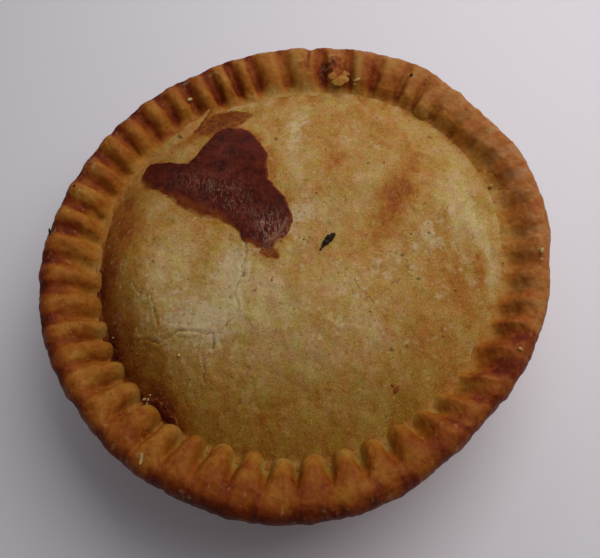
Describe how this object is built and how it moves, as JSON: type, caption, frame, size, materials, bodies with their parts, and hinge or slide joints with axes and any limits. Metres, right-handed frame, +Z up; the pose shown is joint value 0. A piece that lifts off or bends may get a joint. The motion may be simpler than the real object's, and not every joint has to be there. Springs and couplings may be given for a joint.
{
  "type": "meat and potato pie",
  "caption": "Whole baked pie with a domed pastry lid, a crimped rim and a tapered case, with gravy leaked onto the lid.",
  "frame": {"origin": "middle of the base, on the surface the pie stands on", "axes": "+Z up through the lid, +Y towards the back, +X to the right"},
  "size_m": [0.1192, 0.1214, 0.0386],
  "materials": {
    "pastry": "baked shortcrust pastry, dry and matt, browned on the rim",
    "gravy": "baked-on gravy, dark red-brown with a dull sheen"
  },
  "bodies": {
    "root": {"pie": "pastry"}
  },
  "joints": []
}
